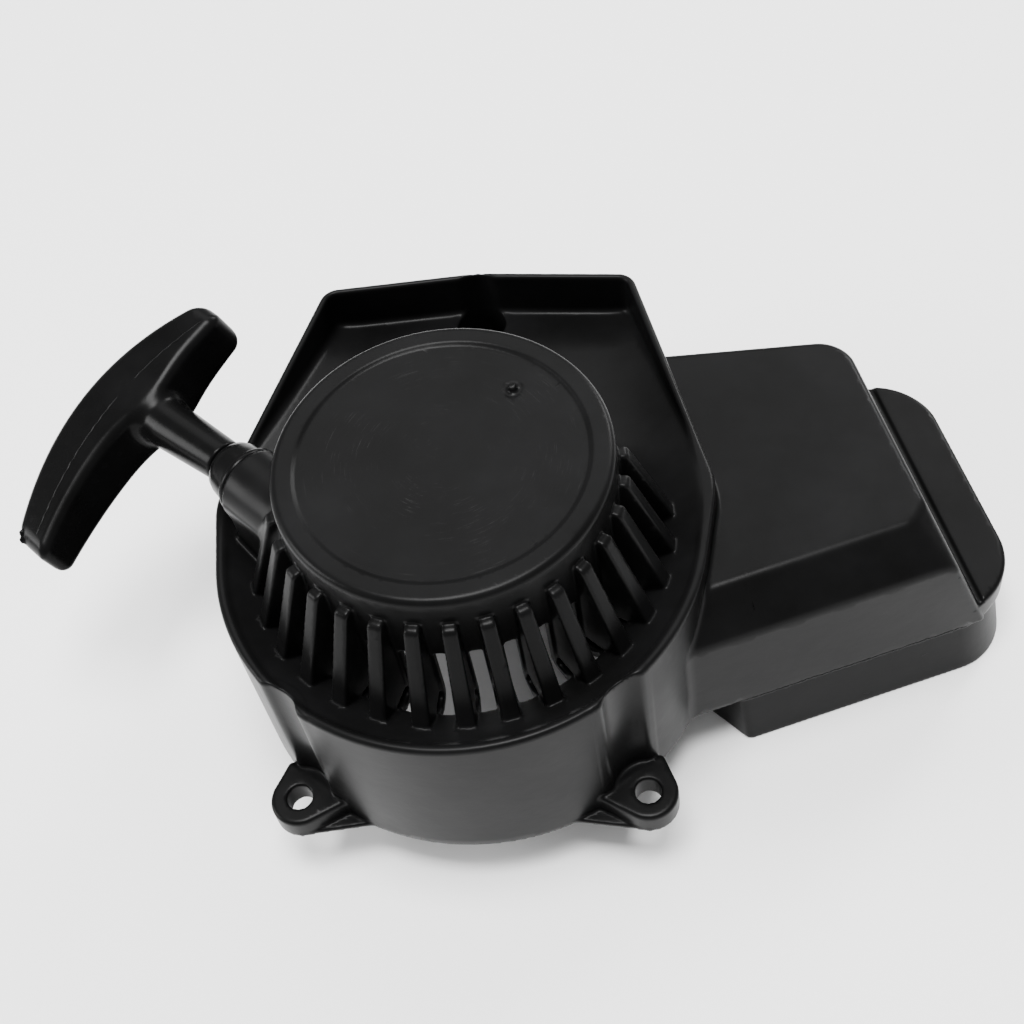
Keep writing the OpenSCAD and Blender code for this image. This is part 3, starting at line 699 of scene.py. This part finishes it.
def handle_field(g):
    """T-handle: a bar that is widest where the stem meets it, with a pocket for the knot."""
    y, up = g.y, -g.z
    bulge = 2.2 * np.exp(-((y - 1.0) / 9) ** 2)
    inner = 76.4 - 0.0052 * np.minimum(y + 10, 0) ** 2 - bulge + 0.20 * (up - 6)
    outer = 92.7 - 0.0078 * (y + 6) ** 2 - 0.06 * np.maximum(up, 0)
    bar = meet(inner - g.x, g.x - outer, 3.6)
    bar = meet(bar, np.abs(up) - grip_half_height(y), 2.4)
    bar = meet(bar, meet(y - GRIP_ENDS[1], GRIP_ENDS[0] - y), 3.6)
    away = np.clip((g.x - STEM_START) / 16, 0, 1.2)
    radius = np.hypot(y + 1.2 * away, up)
    stem = meet(radius - STEM_R - 0.7 * away, np.maximum(STEM_START - g.x, g.x - POCKET_S), 0.5)
    solid = join(bar, stem, 2.4)
    radius = np.hypot(y, up)
    solid = cut(solid, radius - GRIP_BORE_R, 0.3)
    solid = cut(solid, meet(radius - POCKET_R, POCKET_S - g.x, 0.5), 0.5)
    return flash(g, solid)


def flash(g, solid):
    """Slivers of flash left at the long end of the bar."""
    for along, height, out, size in FLASH:
        away = np.sqrt((g.x - out) ** 2 + (g.y - along) ** 2 + (g.z + height) ** 2)
        solid = join(solid, away - size - 0.25 * np.sin(3 * g.x + 2 * g.z), 0.3)
    return solid


def build_seam():
    """Fine raised line where the two halves of the mould met along the bar's top."""
    place = rope_frame(GRIP_TURN)
    path = []
    for i in range(70):
        y = -41.5 + 0.93 * i
        ragged = 0.08 * math.sin(1.7 * i) + 0.05 * math.sin(4.1 * i)
        out = 82.6 - 0.0052 * (y + 4) ** 2 + ragged
        path.append(place @ Vector((out, y, -grip_half_height(y) + 0.06)))
    seam = sweep("mould_seam", path, 0.16, 6)
    finish_piece(seam, "handle", "handle_plastic", GRIP_PLASTIC)


def build_handle():
    step = 0.35
    grid = Grid((49.0, -52.0, -12.0), (99.0, 29.0, 12.0), step)
    piece = mesh_from_field("handle_bar", grid, handle_field(grid), rope_frame(GRIP_TURN))
    return finish_piece(piece, "handle", "handle_plastic", GRIP_PLASTIC, "handle_grip")


def bush_profile():
    """Half outline of the rope guide as (distance along the line, radius), inside then outside."""
    flange = BUSH_MOUTH + 1.6
    return [
        (33.0, 3.6), (34.8, 2.4), (48.4, 2.4), (49.2, 2.7), (49.8, 3.3), (NOSE_END, 4.2),
        (49.9, 4.9), (49.4, 5.7), (48.4, 6.6), (46.8, 7.2), (43.6, 7.7), (42.9, 7.8), (flange, 7.9),
        (flange - 0.15, 8.35), (flange - 0.5, 8.55), (BUSH_MOUTH + 0.4, 8.55), (BUSH_MOUTH + 0.05, 8.3),
        (BUSH_MOUTH, 5.5), (33.3, 5.5), (33.0, 5.2),
    ]


def build_bush():
    piece = lathe("rope_guide", bush_profile(), rope_frame(), 96)
    return finish_piece(piece, "housing", "bush_plastic", GUIDE_PLASTIC, "rope_guide_bush")


# ---------------------------------------------------------------- turned and swept meshes
def lathe(name, outline, place, count):
    """Turns a closed outline of (along, radius) points round local X."""
    n = len(outline)
    verts, faces = [], []
    for i in range(count):
        a = math.tau * i / count
        for along, radius in outline:
            point = place @ Vector((along, radius * math.cos(a), radius * math.sin(a)))
            verts.append(point * MM)
        for j in range(n):
            k, m = (i + 1) % count, (j + 1) % n
            faces.append((i * n + j, k * n + j, k * n + m, i * n + m))
    mesh = bpy.data.meshes.new(name)
    mesh.from_pydata(verts, [], faces)
    outward(mesh)
    return smooth(add_object(name, mesh), 38)


def sweep(name, path, radius, sides=12, closed=False, twist=0.0):
    """Round tube along a path of millimetre points, without kinks in its seam."""
    path = [Vector(p) for p in path]
    count = len(path)
    verts, faces = [], []
    normal = None
    for i, point in enumerate(path):
        ahead = path[(i + 1) % count] if closed or i < count - 1 else point
        behind = path[i - 1] if closed or i else point
        tangent = (ahead - behind).normalized()
        if normal is None:
            normal = tangent.orthogonal().normalized()
        normal = (normal - tangent * normal.dot(tangent)).normalized()
        other = tangent.cross(normal)
        r = radius(i / (count - 1)) if callable(radius) else radius
        for j in range(sides):
            a = math.tau * j / sides + twist * i
            verts.append((point + r * (math.cos(a) * normal + math.sin(a) * other)) * MM)
    for i in range(count if closed else count - 1):
        k = (i + 1) % count
        for j in range(sides):
            m = (j + 1) % sides
            faces.append((i * sides + j, i * sides + m, k * sides + m, k * sides + j))
    if not closed:
        faces.append(tuple(reversed(range(sides))))
        faces.append(tuple((count - 1) * sides + j for j in range(sides)))
    mesh = bpy.data.meshes.new(name)
    mesh.from_pydata(verts, [], faces)
    outward(mesh)
    return smooth(add_object(name, mesh), 50)


def outward(mesh):
    """Turns every face outwards."""
    work = bmesh.new()
    work.from_mesh(mesh)
    bmesh.ops.recalc_face_normals(work, faces=work.faces)
    work.to_mesh(mesh)
    work.free()


def smooth(piece, angle):
    """Smooth shading, broken at edges sharper than the angle in degrees."""
    piece.data.shade_smooth()
    piece.data.set_sharp_from_angle(angle=math.radians(angle))
    return piece


def finish_piece(piece, body, slot, material, *nodes):
    """Gives a piece its material and its body, and hides the CAD nodes that it replaces."""
    piece.data.materials.clear()
    piece.data.materials.append(material)
    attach(piece, body)
    if nodes:
        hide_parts(*nodes)
    return piece


# ---------------------------------------------------------------- rope
def coil_point(turns):
    """Point of the wound rope, from 0 at the core to 6 where it runs off the outer layer."""
    layer = min(int(turns / 2), 2)
    ramp = min(max((turns - 2 * layer - 1.85) / 0.15, 0), 1) if layer < 2 else 0
    radius = COIL_R[layer] + (COIL_R[1] - COIL_R[0]) * ramp
    sides = (-1, 1, 1, -1, -1, 1, 0)
    turn = min(int(turns), 5)
    part = min(max((turns - turn - 0.85) / 0.15, 0), 1)
    height = ROPE_R * (sides[turn] + (sides[turn + 1] - sides[turn]) * part)
    angle = COIL_OUT + math.tau * (6 - turns)
    return Vector((radius * math.cos(angle), radius * math.sin(angle), ROPE_Z + height))


def build_rope():
    """The rope in two pieces: the winding on the reel, and the taut run out to the handle."""
    steps = 56
    line = rope_frame()
    wound = [coil_point(i / steps) for i in range(6 * steps + 1)]
    wound += [line @ Vector((s, 0, 0)) for s in (3, 6, 9, 12, LEAD_START)]
    coil = sweep("rope_turns", wound, ROPE_R - 0.03, 12)
    finish_piece(coil, "reel", "rope", ROPE, "rope_coil")
    count = 90
    reach = LEAD_END - LEAD_START
    straight = [line @ Vector((LEAD_START + reach * i / count, 0, 0)) for i in range(count + 1)]
    lead = sweep("rope_run", straight, ROPE_R, 12)
    lead.data.materials.append(ROPE)
    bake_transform(lead)
    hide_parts("rope_lead")


def build_knot(name, body, node, place, size):
    """Overhand stopper knot drawn tight, as one closed loop of rope."""
    points = []
    for i in range(72):
        t = math.tau * i / 72
        out = 1.0 + 0.42 * math.cos(3 * t)
        loop = Vector((0.75 * math.sin(3 * t), out * math.cos(2 * t), out * math.sin(2 * t)))
        points.append(place @ (loop * size * 0.42))
    knot = sweep(name, points, size * 0.36, 12, closed=True)
    return finish_piece(knot, body, "rope", ROPE, node)


# ---------------------------------------------------------------- CAD pieces that keep their shape
def finish_cad(node, material, bevel=0.0):
    """Gives a piece of the CAD its material and, if its edges are worn, a bevel in millimetres."""
    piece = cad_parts[node]
    piece.data.materials.clear()
    piece.data.materials.append(material)
    if bevel:
        edges = piece.modifiers.new("edge_wear", "BEVEL")
        edges.width = bevel * MM
        edges.segments = 2
        edges.limit_method = "ANGLE"
        edges.angle_limit = math.radians(50)
    return piece


# ---------------------------------------------------------------- the part
build_housing()
build_handle()
build_seam()
build_bush()
finish_cad("rope_reel", REEL_PLASTIC, 0.2)
for name in ("spring_cup", "pawl_pin_1", "pawl_pin_2", "thrust_washer", "pawl_1", "pawl_2", "guide_plate",
             "centre_washer", "centre_screw", "knot_washer"):
    finish_cad(name, STEEL, 0.12)
for name in ("mainspring", "pawl_spring_1", "pawl_spring_2", "friction_spring"):
    finish_cad(name, SPRING_STEEL)
finish_cad("post_insert", BRASS)
build_rope()
build_knot("handle_stopper", "rope_end", "handle_knot",
           rope_frame() @ Matrix.Translation((LEAD_END + KNOT_R - 0.3, 0, 0)), KNOT_R)
build_knot("reel_stopper", "reel", "reel_knot", Matrix.Translation(REEL_KNOT), KNOT_R - 0.4)


# ---------------------------------------------------------------- floor, light and camera
def build_floor():
    """White floor at the part's lowest point."""
    low, reach = CAD_BOX[0][2], FLOOR_HALF * MM
    mesh = bpy.data.meshes.new("floor")
    corners = [(-reach, -reach, low), (reach, -reach, low), (reach, reach, low), (-reach, reach, low)]
    mesh.from_pydata(corners, [], [(0, 1, 2, 3)])
    floor = add_object("floor", mesh)
    s = Shade("floor_paint")
    shade = s.blend(s.noise(6.0), (0.90, 0.90, 0.90, 1.0), (0.93, 0.93, 0.93, 1.0))
    floor.data.materials.append(s.finish(Base_Color=shade, Roughness=0.75))


def area_light(name, place, target, size, power):
    """Rectangular lamp at a place, aimed at its target."""
    light = bpy.data.lights.new(name, "AREA")
    light.shape = "RECTANGLE"
    light.size, light.size_y = size
    light.energy = power
    lamp = add_object(name, light)
    lamp.location = Vector(place)
    lamp.rotation_euler = (Vector(target) - lamp.location).to_track_quat("-Z", "Y").to_euler()
    return lamp


def build_camera():
    """Camera at the photograph's viewpoint, which came from a fit to the part's outlines in it."""
    data = bpy.data.cameras.new("camera")
    data.lens = 56.25
    data.sensor_width = 36.0
    data.clip_start, data.clip_end = 0.01, 20
    camera = add_object("camera", data)
    right = Vector((0.99238847, 0.03764633, -0.11725136))
    up = Vector((0.03820756, 0.81101549, 0.58377569))
    back = Vector((0.11706969, -0.58381215, 0.80340404))
    view = Matrix((right, up, back)).transposed().to_4x4()
    view.translation = Vector((0.05607, -0.21380, 0.34731))
    camera.matrix_world = view
    bpy.context.scene.camera = camera


def build_world():
    world = bpy.data.worlds.new("studio")
    world.use_nodes = True
    bpy.context.scene.world = world
    shade = world.node_tree.nodes["Background"]
    shade.inputs["Color"].default_value = (1.0, 1.0, 1.0, 1.0)
    shade.inputs["Strength"].default_value = 0.55


build_floor()
build_world()
area_light("key", (0.0, -0.1, 1.9), (0.02, 0, 0.0), (0.9, 0.7), 88.0)
area_light("back", (-0.1, 1.2, 1.5), (0, 0, 0.04), (1.6, 1.1), 16.0)
area_light("left", (-1.0, -0.15, 0.45), (0, 0, 0.04), (0.4, 0.5), 12.0)
area_light("right", (0.7, 1.1, 0.8), (0.05, 0, 0.04), (0.35, 0.5), 14.0)
build_camera()
